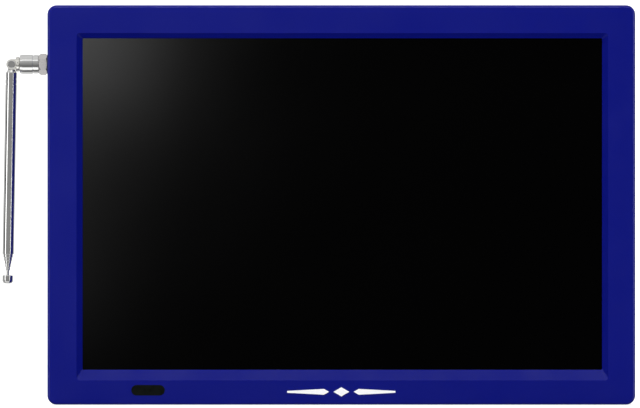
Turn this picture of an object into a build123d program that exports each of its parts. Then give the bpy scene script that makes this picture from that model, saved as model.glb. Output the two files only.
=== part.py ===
"""A portable television: two-part housing, flat panel, side ports, folding stand and telescopic antenna.

The front faces -Y, +Z is up, and the origin is the middle of the bezel's bottom edge face. Millimetres.
"""
import os
from math import cos, radians

from build123d import *

# ---- housing
BODY_W = 345.0
BODY_H = 234.5
BODY_RADIUS = 5.5
MID_Z = BODY_H / 2
FRONT_Y = -8.0
SPLIT_Y = 6.0
BACK_Y = 30.0
WALL = 2.0
FRONT_PLATE = 2.5
FRONT_EDGE_RADIUS = 1.6
COVER_INSET = 1.5
COVER_RADIUS = 4.5
COVER_BACK_RADIUS = 4.0
COVER_LEFT_X = -BODY_W / 2 + COVER_INSET
COVER_RIGHT_X = BODY_W / 2 - COVER_INSET
COVER_TOP_Z = BODY_H - COVER_INSET
BACK_INNER_Y = BACK_Y - WALL
CLEAR = 0.25

# ---- window and its bevel, and the screen stack behind it
WINDOW_W = 305.0
WINDOW_H = 194.6
WINDOW_AT = (0.6, 117.8)
WINDOW_RADIUS = 0.7
BEVEL_DEPTH = 3.5
BEVEL_SIDE = 3.5
BEVEL_TOP = 3.0
BEVEL_BOTTOM = 6.2
LAND_Y = -3.4
GASKET_Y = -3.0
PANEL_W = 319.5
PANEL_H = 205.5
PANEL_SHEET = 0.4
GLASS_BACK_Y = -1.5
GUIDE_Y = (-0.8, 1.4)
TRAY_Y = (1.6, 2.3)
TRAY_WALL = 3.0
LED_BAR_H = 1.5
LED_STRIP_H = 0.6
LED_COUNT = 30
LED_PITCH = 10.0

# ---- front marks
LENS_W = 19.7
LENS_H = 6.2
LENS_AT = (-113.4, 8.5)
MARK_W = 63.5
MARK_H = 5.4
MARK_Z = 7.6
MARK_PROUD = 0.3
LENS_PROUD = 0.15

# ---- screws and feet
SCREW_X = 165.3
SCREW_PLACES = [
    (-SCREW_X, 9.0), (-SCREW_X, 117.0), (-SCREW_X, 225.0), (0.0, 8.0),
    (0.0, 226.0), (SCREW_X, 225.0), (SCREW_X, 115.0), (SCREW_X, 9.0),
]
BOSS_R = 3.3
PILOT_R = 1.2
CLEARANCE_R = 1.5
SCREW_HEAD_R = 2.7
SCREW_HEAD_SEAT_Y = 24.0
FOOT_X = 128.0
FOOT_W = 30.0
FOOT_Y = (12.0, 25.0)
EAR_X = 165.0
EAR_Z = (40.0, 196.0)
EAR_Y = (2.3, 3.1)
EAR_BOSS_R = 2.6
EAR_SCREW_R = 0.9

# ---- boards
BOARD_X = (60.0, 166.0)
BOARD_Z = (46.0, 214.0)
BOARD_Y = (10.0, 11.6)
POST_R = 3.0
POST_PLACES = [(84.0, 54.0), (84.0, 206.0), (146.0, 54.0), (146.0, 206.0)]
PORT_Y = 15.6
HEADPHONE_Z = 181.0
AV_Z = (162.0, 171.5)
DC_Z = 192.5
SWITCH_Z = 205.0
USB_Z = 147.0
HDMI_Z = 130.0
CARD_Z = 96.0
VGA_Z = 63.0
SWITCH_TRAVEL = 3.5
JACK_BORE_R = 1.8
JACK_BORE_LENGTH = 11.0
JACK_MOUTH_R = 3.2
DC_MOUTH_R = 4.2
DC_BORE_R = 3.1
DC_PIN_R = 1.0

# ---- slots in the rear shell
VENT_ROWS_Z = (183.0, 205.0)
VENT_COUNT = 17
VENT_PITCH = 7.0
VENT_SIZE = (2.4, 15.0)
SOUND_SLOTS = 7
SOUND_PITCH = 4.0
SOUND_FIELD_R = 14.5
SOUND_SLOT_W = 1.8

# ---- keys along the top
BUTTON_NAMES = ["source", "channel_down", "channel_up", "volume_down", "volume_up"]
BUTTON_PITCH = 17.0
BUTTON_PLACES = [42.0 + i * BUTTON_PITCH for i in range(len(BUTTON_NAMES))]
BUTTON_Y = 18.0
BUTTON_SIZE = (11.0, 6.0)
BUTTON_PROUD = 0.8
BUTTON_TRAVEL = 0.5
BUTTON_FLANGE = 0.9
BUTTON_FLANGE_Z = (229.2, COVER_TOP_Z - WALL - 0.1)
KEY_BOARD_Y = (11.0, 25.0)
KEY_BOARD_Z = (223.0, 224.6)
TACT_HALF = 3.0
TACT_BASE_TOP_Z = KEY_BOARD_Z[1] + 2.2
TACT_TOP_Z = 227.6

# ---- battery and speakers
CELL_R = 9.2
CELL_X = (-150.0, -85.0)
CELL_Y = 15.6
CELL_Z = (62.0, 81.0)
SADDLE_PLACES = (-146.0, -118.5, -91.0)
SPEAKER_X = 116.0
SPEAKER_Z = 25.0
SPEAKER_R = 17.0

# ---- stand
POCKET_X = 62.0
POCKET_Z = (14.0, 172.0)
POCKET_FLOOR_Y = 24.5
STAND_W = 122.0
STAND_BOTTOM_Z = 16.0
STAND_PIN = (27.2, 165.0)
STAND_PIN_R = 1.5
STAND_THICK = 4.8
STAND_ROUND_R = STAND_THICK / 2
STAND_RIBS = 9
STAND_FIRST_RIB_Z = 38.0
STAND_RIB_PITCH = 11.5
NOTCH_X = (62.0, 74.0)
NOTCH_Z = (28.0, 52.0)

# ---- antenna: distances out from the bezel's side run towards -X
SIDE_X = -BODY_W / 2
ANT_Y = 18.0
ANT_Z = 200.1
THREAD_R = 4.7
RUN_CLEAR = 0.05
NUT_OUT = (0.9, 5.6)
NUT_FLATS = 11.0
NUT_LIP = 0.8
BARREL_OUT = (5.6, 9.0, 16.8)
BARREL_R = (5.5, 5.7)
BARREL_TAPER = (1.6, 0.35)
BARREL_GROOVE = 0.3
COLLAR_OUT = (16.85, 19.3)
COLLAR_R = 4.4
ELBOW_OUT = 21.75
KNUCKLE_R = 3.05
FORK_GAP = 2.8
TONGUE = 2.6
ELBOW_SCREW_R = 1.2
MAST_TILT = 1.0
MAST_TUBE_TOP = 4.7
MAST_TUBE_END = 112.0
MAST_STEP = 1.88
MAST_RADII = [3.4, 2.85, 2.45, 2.05, 1.65, 1.25]
MAST_LIP = 0.3
MAST_CRIMPS = (8.6, 11.7)
MAST_TENON_END = 13.2
MAST_FIRST_TOP = 14.5
MAST_TOP_STEP = 1.5
ROD_R = 0.85
TIP_S = (124.3, 129.2)
TIP_R = 3.15


# ------------------------------------------------------------------------------------------ small helpers
def block(x, y, z):
    """A box from a low and a high value along each axis."""
    size = (x[1] - x[0], y[1] - y[0], z[1] - z[0])
    middle = ((x[0] + x[1]) / 2, (y[0] + y[1]) / 2, (z[0] + z[1]) / 2)
    return Pos(*middle) * Box(*size)


def around(middle, half):
    """The low and high value a half-width either side of a middle."""
    return (middle - half, middle + half)


def rod_x(radius, x, y, z):
    """A cylinder along X."""
    return Pos((x[0] + x[1]) / 2, y, z) * Rot(0, 90, 0) * Cylinder(radius, abs(x[1] - x[0]))


def rod_y(radius, x, y, z):
    """A cylinder along Y."""
    return Pos(x, (y[0] + y[1]) / 2, z) * Rot(90, 0, 0) * Cylinder(radius, abs(y[1] - y[0]))


def rod_z(radius, x, y, z):
    """A cylinder along Z."""
    return Pos(x, y, (z[0] + z[1]) / 2) * Cylinder(radius, abs(z[1] - z[0]))


def facing(y, x=0.0, z=0.0):
    """A drawing plane across Y whose extrusions run towards the back."""
    return Plane(origin=(x, y, z), x_dir=(1, 0, 0), z_dir=(0, 1, 0))


def slab(width, height, y, at, radius=0.0):
    """A plate across Y, with rounded corners where a radius is given."""
    outline = RectangleRounded(width, height, radius) if radius else Rectangle(width, height)
    return extrude(facing(y[0], *at) * outline, amount=y[1] - y[0])


def ring_slab(outer, inner, y, at):
    """A flat rectangular ring across Y."""
    return slab(*outer, y, at) - slab(*inner, y, at)


def group(pieces):
    """Several separate solids in one node."""
    return Compound(children=[piece.solid() for piece in pieces])


def out(distance):
    """The X of a point that far out from the bezel's side."""
    return SIDE_X - distance


# ------------------------------------------------------------------------------------------ housing
def front_bezel():
    """The front moulding: a tray around the panel, with a bevelled window."""
    shell = slab(BODY_W, BODY_H, (FRONT_Y, SPLIT_Y), (0, MID_Z), BODY_RADIUS)
    shell = fillet(shell.edges().group_by(Axis.Y)[0], FRONT_EDGE_RADIUS)
    plate_y = FRONT_Y + FRONT_PLATE
    inner = (BODY_W - 2 * WALL, BODY_H - 2 * WALL)
    shell -= slab(*inner, (plate_y, SPLIT_Y), (0, MID_Z), BODY_RADIUS - WALL)
    shell += slab(WINDOW_W + 12, WINDOW_H + 12, (plate_y, LAND_Y), WINDOW_AT)
    for x, z in SCREW_PLACES:
        shell += rod_y(BOSS_R, x, (plate_y, SPLIT_Y), z)
    for side in (-1, 1):
        for z in EAR_Z:
            shell += rod_y(EAR_BOSS_R, side * EAR_X, (plate_y, EAR_Y[0]), z)
    shell -= bevel_cut()
    shell -= slab(WINDOW_W, WINDOW_H, (FRONT_Y, SPLIT_Y), WINDOW_AT, WINDOW_RADIUS)
    for x, z in SCREW_PLACES:
        shell -= rod_y(PILOT_R, x, (-3.5, SPLIT_Y), z)
    for side in (-1, 1):
        for z in EAR_Z:
            shell -= rod_y(EAR_SCREW_R, side * EAR_X, (-2.4, EAR_Y[0]), z)
    shell -= lens_outline(LENS_W, LENS_H, (FRONT_Y, plate_y))
    return shell


def bevel_cut():
    """The tapered mouth of the window: deeper land at the bottom than at the top and sides."""
    width = WINDOW_W + 2 * BEVEL_SIDE
    height = WINDOW_H + BEVEL_TOP + BEVEL_BOTTOM
    centre_z = WINDOW_AT[1] + (BEVEL_TOP - BEVEL_BOTTOM) / 2
    mouth = facing(FRONT_Y, WINDOW_AT[0], centre_z) * RectangleRounded(width, height, 1.6)
    land = facing(FRONT_Y + BEVEL_DEPTH, *WINDOW_AT) * RectangleRounded(WINDOW_W, WINDOW_H, WINDOW_RADIUS)
    return loft([mouth, land], ruled=True)


def lens_outline(width, height, y):
    """A pill-shaped plate at the infrared window's place."""
    return extrude(facing(y[0], *LENS_AT) * SlotOverall(width, height), amount=y[1] - y[0])


def ir_lens():
    """The dark infrared lens, with a flange behind the bezel's plate."""
    plate_y = FRONT_Y + FRONT_PLATE
    face = lens_outline(LENS_W, LENS_H, (FRONT_Y - LENS_PROUD, plate_y))
    face = fillet(face.edges().group_by(Axis.Y)[0], 0.12)
    return face + slab(23.5, 9.2, (plate_y, plate_y + 0.8), LENS_AT, 1.5)


def front_mark():
    """A plain raised lozenge between two tapered bars."""
    lozenge = Polygon((-4.6, 0), (0, -MARK_H / 2), (4.6, 0), (0, MARK_H / 2), align=None)
    half = MARK_W / 2
    plane = facing(FRONT_Y - MARK_PROUD, 0, MARK_Z)
    pieces = [extrude(plane * lozenge, amount=MARK_PROUD, dir=(0, 1, 0))]
    for side in (-1, 1):
        inner = side * 7.2
        near = side * 10.2
        end = side * half
        bar = Polygon((inner, 0), (near, -1.7), (end, -0.55), (end, 0.55), (near, 1.7), align=None)
        pieces.append(extrude(plane * bar, amount=MARK_PROUD, dir=(0, 1, 0)))
    return group(pieces)


def rear_cover():
    """The rear shell with vents, speaker slots, port cut-outs and the stand's pocket."""
    width = BODY_W - 2 * COVER_INSET
    height = BODY_H - 2 * COVER_INSET
    shell = slab(width, height, (SPLIT_Y, BACK_Y), (0, MID_Z), COVER_RADIUS)
    shell = fillet(shell.edges().group_by(Axis.Y)[-1], COVER_BACK_RADIUS)
    inner = (width - 2 * WALL, height - 2 * WALL)
    hollow = slab(*inner, (SPLIT_Y, BACK_INNER_Y), (0, MID_Z), COVER_RADIUS - WALL)
    shell -= fillet(hollow.edges().group_by(Axis.Y)[-1], COVER_BACK_RADIUS - WALL)
    shell += cover_inside()
    shell -= block((-POCKET_X, POCKET_X), (POCKET_FLOOR_Y, BACK_Y), POCKET_Z)
    shell -= block(NOTCH_X, (POCKET_FLOOR_Y, BACK_Y), NOTCH_Z)
    shell -= rod_x(STAND_PIN_R, (-POCKET_X - 4, POCKET_X + 4), *STAND_PIN)
    for x, z in SCREW_PLACES:
        shell -= rod_y(CLEARANCE_R, x, (SPLIT_Y, BACK_Y), z)
        shell -= rod_y(SCREW_HEAD_R + 0.2, x, (SCREW_HEAD_SEAT_Y, BACK_Y), z)
    for x, z in POST_PLACES:
        shell -= rod_y(PILOT_R, x, (BOARD_Y[1], BOARD_Y[1] + 9), z)
    return shell - cover_openings()


def cover_inside():
    """Screw bosses, board posts, cell saddles, key-board shelves and the pocket's own walls."""
    inside = block((-POCKET_X - 5, POCKET_X + 5), (POCKET_FLOOR_Y - WALL, BACK_Y - 1), (12, 174))
    notch_z = (NOTCH_Z[0] - WALL, NOTCH_Z[1] + WALL)
    inside += block((NOTCH_X[0], NOTCH_X[1] + WALL), (POCKET_FLOOR_Y - WALL, BACK_Y - 1), notch_z)
    for x, z in SCREW_PLACES:
        inside += rod_y(BOSS_R + 0.3, x, (SPLIT_Y, BACK_Y - 1), z)
    for x, z in POST_PLACES:
        inside += rod_y(POST_R, x, (BOARD_Y[1], BACK_Y - 1), z)
    for x in SADDLE_PLACES:
        saddle = block(around(x, 1), (CELL_Y - 2, BACK_Y - 1), (CELL_Z[0] - 13, CELL_Z[1] + 13))
        for z in CELL_Z:
            saddle -= rod_x(CELL_R, around(x, 1), CELL_Y, z)
        inside += saddle
    for x in (BUTTON_PLACES[0] - 7, BUTTON_PLACES[-1] + 7):
        inside += block(around(x, 1), (KEY_BOARD_Y[0], BACK_Y - 1), (KEY_BOARD_Z[0] - 4, KEY_BOARD_Z[0]))
    return inside


def cover_openings():
    """Everything cut through the rear shell's walls."""
    cuts = []
    through = (BACK_Y - WALL - 1, BACK_Y)
    for row_z in VENT_ROWS_Z:
        for i in range(VENT_COUNT):
            x = (i - (VENT_COUNT - 1) / 2) * VENT_PITCH
            cuts.append(slab(*VENT_SIZE, through, (x, row_z), VENT_SIZE[0] / 2 - 0.1))
    for side in (-1, 1):
        for i in range(SOUND_SLOTS):
            offset = (i - (SOUND_SLOTS - 1) / 2) * SOUND_PITCH
            length = 2 * (SOUND_FIELD_R ** 2 - offset ** 2) ** 0.5 - 2
            place = (side * SPEAKER_X + offset, SPEAKER_Z)
            cuts.append(slab(SOUND_SLOT_W, length, through, place, SOUND_SLOT_W / 2 - 0.05))
    for x in BUTTON_PLACES:
        half_w = BUTTON_SIZE[0] / 2 + CLEAR
        half_d = BUTTON_SIZE[1] / 2 + CLEAR
        top = (COVER_TOP_Z - WALL - 1, COVER_TOP_Z + 1)
        cuts.append(block(around(x, half_w), around(BUTTON_Y, half_d), top))
    wall_x = (COVER_RIGHT_X - 3, COVER_RIGHT_X + 1)
    for z in (*AV_Z, HEADPHONE_Z):
        cuts.append(rod_x(JACK_MOUTH_R, wall_x, PORT_Y, z))
    cuts.append(rod_x(DC_MOUTH_R, wall_x, PORT_Y, DC_Z))
    cuts.append(block(wall_x, (12.6, 18.6), around(HDMI_Z, 7.9)))
    cuts.append(block(wall_x, (11.3, 19.1), around(USB_Z, 7.2)))
    cuts.append(block(wall_x, (13.4, 16.6), around(CARD_Z, 12.5)))
    cuts.append(block(wall_x, (11.1, 20.1), around(VGA_Z, 15.8)))
    cuts.append(block(wall_x, around(PORT_Y, 1.6), around(SWITCH_Z, 4.2)))
    cuts.append(rod_x(THREAD_R, (COVER_LEFT_X - 1, COVER_LEFT_X + 3), ANT_Y, ANT_Z))
    return cuts


def cover_screws():
    """Eight pan-head screws from the back into the bezel's bosses."""
    screws = []
    for x, z in SCREW_PLACES:
        head = rod_y(SCREW_HEAD_R, x, (SCREW_HEAD_SEAT_Y, SCREW_HEAD_SEAT_Y + 2.0), z)
        head = fillet(head.edges().group_by(Axis.Y)[-1], 0.7)
        head -= cross_recess(x, z, SCREW_HEAD_SEAT_Y + 2.0, 3.0, 1.2)
        screws.append(head + rod_y(PILOT_R, x, (0.0, SCREW_HEAD_SEAT_Y), z))
    return group(screws)


def cross_recess(x, z, y, length, depth):
    """A cross-shaped driver recess sunk from depth y towards the front."""
    tall = block(around(x, 0.35), (y - depth, y + 1), around(z, length / 2))
    wide = block(around(x, length / 2), (y - depth, y + 1), around(z, 0.35))
    return tall + wide


def rubber_feet():
    """Two rubber pads under the rear cover, level with the bezel's bottom face."""
    feet = []
    for side in (-1, 1):
        x = side * FOOT_X
        pad = block(around(x, FOOT_W / 2), FOOT_Y, (0, COVER_INSET))
        feet.append(fillet(pad.edges().filter_by(Axis.Z), 3.0))
    return group(feet)


# ------------------------------------------------------------------------------------------ screen
def screen_gasket():
    outer = (WINDOW_W + 10, WINDOW_H + 9)
    inner = (WINDOW_W + 1.6, WINDOW_H + 1.6)
    return ring_slab(outer, inner, (LAND_Y, GASKET_Y), WINDOW_AT)


def panel_frame():
    """The panel's folded steel frame: a narrow lip in front and thin side walls."""
    y = (GASKET_Y, TRAY_Y[1])
    frame = slab(PANEL_W, PANEL_H, y, WINDOW_AT)
    inside = (PANEL_W - 2 * PANEL_SHEET, PANEL_H - 2 * PANEL_SHEET)
    frame -= slab(*inside, (y[0] + PANEL_SHEET, y[1]), WINDOW_AT)
    return frame - slab(WINDOW_W + 1.2, WINDOW_H + 1.2, (y[0], y[0] + PANEL_SHEET), WINDOW_AT)


def panel_glass():
    return slab(PANEL_W - 3, PANEL_H - 3, (GASKET_Y + PANEL_SHEET, GLASS_BACK_Y), WINDOW_AT)


def panel_films():
    """Diffuser, two prism sheets and the reflector, lying against the light guide."""
    size = (PANEL_W - 8, PANEL_H - 12)
    edges = [GLASS_BACK_Y, -1.25, -1.03, GUIDE_Y[0]]
    sheets = [slab(*size, pair, WINDOW_AT) for pair in zip(edges, edges[1:])]
    sheets.append(slab(*size, (GUIDE_Y[1], TRAY_Y[0]), WINDOW_AT))
    return group(sheets)


def light_guide():
    return slab(PANEL_W - 8, PANEL_H - 12, GUIDE_Y, WINDOW_AT)


def panel_tray():
    """The panel's moulded rear tray, with four screw ears that reach over the steel frame."""
    outer = (PANEL_W - 2 * PANEL_SHEET, PANEL_H - 2 * PANEL_SHEET)
    inner = (outer[0] - 2 * TRAY_WALL, outer[1] - 2 * TRAY_WALL)
    tray = slab(*outer, (GLASS_BACK_Y, TRAY_Y[1]), WINDOW_AT)
    tray -= slab(*inner, (GLASS_BACK_Y, TRAY_Y[0]), WINDOW_AT)
    for side in (-1, 1):
        near = WINDOW_AT[0] + side * (outer[0] / 2 - 8)
        far = side * (EAR_X + EAR_BOSS_R)
        for z in EAR_Z:
            tray += block((min(near, far), max(near, far)), EAR_Y, around(z, 3.5))
            tray -= rod_y(EAR_SCREW_R, side * EAR_X, EAR_Y, z)
    return tray


def led_bar():
    """The strip of light-emitting diodes under the light guide's lower edge."""
    low_z = WINDOW_AT[1] - PANEL_H / 2 + PANEL_SHEET + TRAY_WALL
    strip = block(around(0, LED_COUNT * LED_PITCH / 2), GUIDE_Y, (low_z, low_z + LED_STRIP_H))
    led_y = (GUIDE_Y[0] + 0.3, GUIDE_Y[1] - 0.3)
    for i in range(LED_COUNT):
        x = (i - (LED_COUNT - 1) / 2) * LED_PITCH
        strip += block(around(x, 1.8), led_y, (low_z + LED_STRIP_H, low_z + LED_BAR_H))
    return strip


def panel_board():
    """The panel's driver board along its lower edge, with its chips and ribbon socket."""
    board = block((-140, 140), (TRAY_Y[1], TRAY_Y[1] + 1.0), (18, 32))
    for i in range(6):
        x = (i - 2.5) * 44.0
        board += block(around(x, 9), (TRAY_Y[1] + 1, TRAY_Y[1] + 2), (20.5, 24.0))
    return board + block((100, 122), (TRAY_Y[1] + 1, TRAY_Y[1] + 2.5), (26, 30))


# ------------------------------------------------------------------------------------------ electronics
def main_board():
    """The main circuit board, notched around a screw boss."""
    board = block(BOARD_X, BOARD_Y, BOARD_Z)
    for x, z in SCREW_PLACES:
        board -= rod_y(BOSS_R + 1, x, BOARD_Y, z)
    for x, z in POST_PLACES:
        board -= rod_y(PILOT_R, x, BOARD_Y, z)
    return board


def board_chips():
    """Packages, capacitors, coils and lead connectors standing on the main board."""
    y0 = BOARD_Y[1]
    pieces = [
        block((98, 122), (y0, y0 + 2), (128, 152)), block((92, 102), (y0, y0 + 1.2), (160, 170)),
        block((112, 124), (y0, y0 + 1.2), (160, 166)), block((92, 104), (y0, y0 + 4), (92, 104)),
        block((112, 122), (y0, y0 + 4), (92, 102)), block((128, 136), (y0, y0 + 1.5), (104, 112)),
        block((64, 70), (y0, y0 + 5), (96, 106)), block((64, 70), (y0, y0 + 5), (62, 72)),
        block((104, 118), (y0, y0 + 1.2), (66, 76)),
    ]
    for x, z in ((96, 82), (106, 82), (134, 84), (134, 94), (136, 122), (72, 140), (72, 150)):
        can = rod_y(3.1, x, (y0, y0 + 7), z)
        pieces.append(fillet(can.edges().group_by(Axis.Y)[-1], 0.5))
    return group(pieces)


def tuner_can():
    """The tuner's soldered steel box, with vent holes in its lid."""
    y0 = BOARD_Y[1]
    can = block((62, 92), (y0, y0 + 9), (176, 198))
    can -= block((62.5, 91.5), (y0 + 0.5, y0 + 8.5), (176.5, 197.5))
    for i in range(4):
        can -= rod_y(1.2, 68 + i * 6, (y0 + 8, y0 + 10), 187)
    return can


def inner_screws():
    """The main board's four screws and the panel tray's four smaller ones."""
    screws = []
    for x, z in POST_PLACES:
        head = rod_y(2.4, x, (BOARD_Y[0] - 1.6, BOARD_Y[0]), z)
        screws.append(head + rod_y(PILOT_R, x, (BOARD_Y[0], BOARD_Y[1] + 7), z))
    for side in (-1, 1):
        for z in EAR_Z:
            head = rod_y(2.0, side * EAR_X, (EAR_Y[1], EAR_Y[1] + 1.2), z)
            screws.append(head + rod_y(EAR_SCREW_R, side * EAR_X, (-2.0, EAR_Y[1]), z))
    return group(screws)


def hdmi_socket():
    """A steel shell with a tongue, open to the side."""
    inner_x = COVER_RIGHT_X - 12
    shell = block((inner_x, COVER_RIGHT_X - 0.4), (BOARD_Y[1] + 1.2, 18.4), around(HDMI_Z, 7.6))
    shell -= block((inner_x + 2, COVER_RIGHT_X), (13.2, 18.0), around(HDMI_Z, 7.1))
    shell += block((inner_x, COVER_RIGHT_X - 2), (15.1, 16.1), around(HDMI_Z, 5.6))
    return shell + block((inner_x, inner_x + 9), (BOARD_Y[1], BOARD_Y[1] + 1.2), around(HDMI_Z, 6))


def usb_socket():
    """A steel shell with its contact tongue, open to the side."""
    inner_x = COVER_RIGHT_X - 14
    shell = block((inner_x, COVER_RIGHT_X - 0.3), (BOARD_Y[1], 18.8), around(USB_Z, 6.9))
    shell -= block((inner_x + 3, COVER_RIGHT_X), (12.4, 18.4), around(USB_Z, 6.5))
    return shell + block((inner_x, COVER_RIGHT_X - 2), (15.9, 17.7), around(USB_Z, 5.5))


def card_socket():
    """A flat memory-card slot."""
    x = (COVER_RIGHT_X - 28, COVER_RIGHT_X - WALL)
    shell = block(x, (BOARD_Y[1], 16.8), around(CARD_Z, 12.9))
    return shell - block((x[0] + 1, x[1] + 1), (13.7, 16.3), around(CARD_Z, 12.2))


def vga_socket():
    """A D-shaped fifteen-way socket between two hex standoffs."""
    x = (COVER_RIGHT_X - 12, COVER_RIGHT_X - 2.4)
    body = block(x, (BOARD_Y[1], 19.8), around(VGA_Z, 15.4))
    side = Plane(origin=(x[1], PORT_Y, VGA_Z), x_dir=(0, 0, 1), z_dir=(1, 0, 0))
    d_shape = Polygon((-8.3, -3.9), (8.3, -3.9), (7.2, 3.9), (-7.2, 3.9), align=None)
    body += extrude(side * d_shape, amount=2.2)
    for row in (-1, 0, 1):
        for i in range(5):
            hole_z = VGA_Z + (i - 2) * 2.3 + row * 0.4
            body -= rod_x(0.45, (x[1] - 4, x[1] + 3), PORT_Y + row * 2.0, hole_z)
    for end in (-1, 1):
        standoff = extrude(side * Pos(end * 12.5, 0) * RegularPolygon(2.6, 6), amount=2.2)
        body += standoff
        body -= rod_x(1.2, (x[1] - 4, x[1] + 3), PORT_Y, VGA_Z + end * 12.5)
    return body


def jack(z):
    """A 3.5 mm jack: a plastic block on the board with a blind round bore facing the side."""
    mouth_x = COVER_RIGHT_X - WALL
    body = block((mouth_x - 12.5, mouth_x), (BOARD_Y[1], 19.4), around(z, 3.9))
    return body - rod_x(JACK_BORE_R, (mouth_x - JACK_BORE_LENGTH, mouth_x), PORT_Y, z)


def dc_jack():
    """A coaxial power jack: a round socket around a centre pin."""
    mouth_x = COVER_RIGHT_X - WALL
    body = block((mouth_x - 12.5, mouth_x), (BOARD_Y[1], 20.2), around(DC_Z, 4.6))
    body -= rod_x(DC_BORE_R, (mouth_x - 9.5, mouth_x), PORT_Y, DC_Z)
    return body + rod_x(DC_PIN_R, (mouth_x - 10, mouth_x - 1), PORT_Y, DC_Z)


def power_switch_body():
    """The slide switch's steel can, with a slot for its knob's stem."""
    x = (COVER_RIGHT_X - 8, COVER_RIGHT_X - WALL - 0.7)
    can = block(x, (BOARD_Y[1], 19.6), around(SWITCH_Z, 7))
    return can - block((x[1] - 2.5, x[1]), around(PORT_Y, 1.1), around(SWITCH_Z, SWITCH_TRAVEL / 2 + 1.4))


def power_switch_knob():
    """The sliding knob, shown at its lower position: a stem and a ridged finger tab."""
    z = SWITCH_Z - SWITCH_TRAVEL / 2
    stem_x = (COVER_RIGHT_X - WALL - 2.9, COVER_RIGHT_X - 1.0)
    stem = block(stem_x, around(PORT_Y, 1.0), around(z, 1.2))
    tab = block((stem_x[1], COVER_RIGHT_X + 1.2), around(PORT_Y, 1.4), around(z, 2.2))
    for offset in (-1.3, 0, 1.3):
        tab -= block((COVER_RIGHT_X + 0.8, COVER_RIGHT_X + 2), around(PORT_Y, 2), around(z + offset, 0.25))
    return stem + tab


def ir_board():
    """The infrared receiver on its small board behind the lens."""
    x = LENS_AT[0]
    board = block(around(x, 10.5), (-2.4, -1.4), (3.6, 13.4))
    receiver = block(around(x, 3), (-4.0, -2.4), (5, 12))
    return board + receiver


def key_board():
    return block((BUTTON_PLACES[0] - 10, BUTTON_PLACES[-1] + 10), KEY_BOARD_Y, KEY_BOARD_Z)


def tact_switches():
    """One tactile switch under each button."""
    switches = []
    for x in BUTTON_PLACES:
        base = block(around(x, TACT_HALF), around(BUTTON_Y, TACT_HALF), (KEY_BOARD_Z[1], TACT_BASE_TOP_Z))
        switches.append(base + rod_z(1.6, x, BUTTON_Y, (TACT_BASE_TOP_Z, TACT_TOP_Z)))
    return group(switches)


def button(x):
    """A key cap: a finger pad through the cover's top wall, a hidden flange and a stem."""
    half_w = BUTTON_SIZE[0] / 2
    half_d = BUTTON_SIZE[1] / 2
    pad_z = (BUTTON_FLANGE_Z[0], COVER_TOP_Z + BUTTON_PROUD)
    pad = block(around(x, half_w), around(BUTTON_Y, half_d), pad_z)
    pad = fillet(pad.edges().filter_by(Axis.Z), 1.2)
    pad = fillet(pad.edges().group_by(Axis.Z)[-1], 0.4)
    flange = (around(x, half_w + BUTTON_FLANGE), around(BUTTON_Y, half_d + BUTTON_FLANGE))
    pad += block(*flange, BUTTON_FLANGE_Z)
    stem_low = TACT_TOP_Z + BUTTON_TRAVEL + 0.1
    return pad + rod_z(1.5, x, BUTTON_Y, (stem_low, BUTTON_FLANGE_Z[0]))


# ------------------------------------------------------------------------------------------ power and sound
def battery_cells():
    """Two round lithium cells lying side by side."""
    cells = []
    for z in CELL_Z:
        cell = rod_x(CELL_R, CELL_X, CELL_Y, z)
        cell = fillet(cell.edges(), 0.8)
        cells.append(cell)
    return group(cells)


def speaker_shape(kind, side):
    """One part of a round speaker that fires through the back: its basket, cone or magnet."""
    x = side * SPEAKER_X
    axis_plane = Plane(origin=(x, BACK_INNER_Y, SPEAKER_Z), x_dir=(1, 0, 0), z_dir=(0, -1, 0))
    if kind == "basket":
        ring = extrude(axis_plane * Circle(SPEAKER_R), amount=1.2)
        ring += extrude(axis_plane * Circle(SPEAKER_R - 1), amount=7.0, taper=25)
        ring -= extrude(axis_plane * Circle(SPEAKER_R - 2), amount=6.4, taper=25)
        ring -= extrude(axis_plane * Circle(8.0), amount=7.0)
        return ring
    if kind == "cone":
        cone = extrude(axis_plane.offset(0.4) * Circle(SPEAKER_R - 3.2), amount=4.6, taper=35)
        cone -= extrude(axis_plane.offset(0.4) * Circle(SPEAKER_R - 3.7), amount=4.2, taper=35)
        return cone
    magnet = extrude(axis_plane.offset(7.0) * Circle(10.0), amount=4.5)
    return magnet + extrude(axis_plane.offset(5.4) * Circle(5.0), amount=1.6)


def speakers(kind):
    return group([speaker_shape(kind, -1), speaker_shape(kind, 1)])


def lead(points, radius, bend):
    """A round cable along straight runs joined by tangent arcs."""
    path = FilletPolyline(*points, radius=bend)
    section = Plane(origin=path @ 0, z_dir=path % 0) * Circle(radius)
    return sweep(section, path=path)


def speaker_leads():
    left = [(-98.9, 22, 28), (-84, 17, 36), (-50, 13, 46), (20, 13, 58), (54, 14, 67), (64, 14, 67)]
    right = [(98.9, 22, 28), (94, 17, 40), (92, 14.5, 58), (80, 14.5, 67), (70, 14.5, 67)]
    return group([lead(left, 1.0, 8), lead(right, 1.0, 4)])


def battery_lead():
    points = [(CELL_X[1], 14, 71), (-66, 13.5, 73), (20, 13.5, 90), (50, 14, 101), (64, 14, 101)]
    return lead(points, 1.3, 10)


def antenna_lead():
    start = (COVER_LEFT_X + 15, ANT_Y, ANT_Z)
    points = [start, (-140, ANT_Y, ANT_Z), (-110, 16, 203), (10, 16, 199), (46, 16, 187), (62, 16, 187)]
    return lead(points, 1.3, 12)


def panel_ribbon():
    """The flat ribbon from the panel's driver board up to the main board."""
    points = [(111, TRAY_Y[1] + 2.5, 28), (111, 7.2, 28), (111, 7.2, 62), (111, BOARD_Y[0], 62)]
    path = FilletPolyline(*points, radius=1.2)
    section = Plane(origin=points[0], x_dir=(1, 0, 0), z_dir=(0, 1, 0)) * Rectangle(20, 0.5)
    return sweep(section, path=path)


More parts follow.
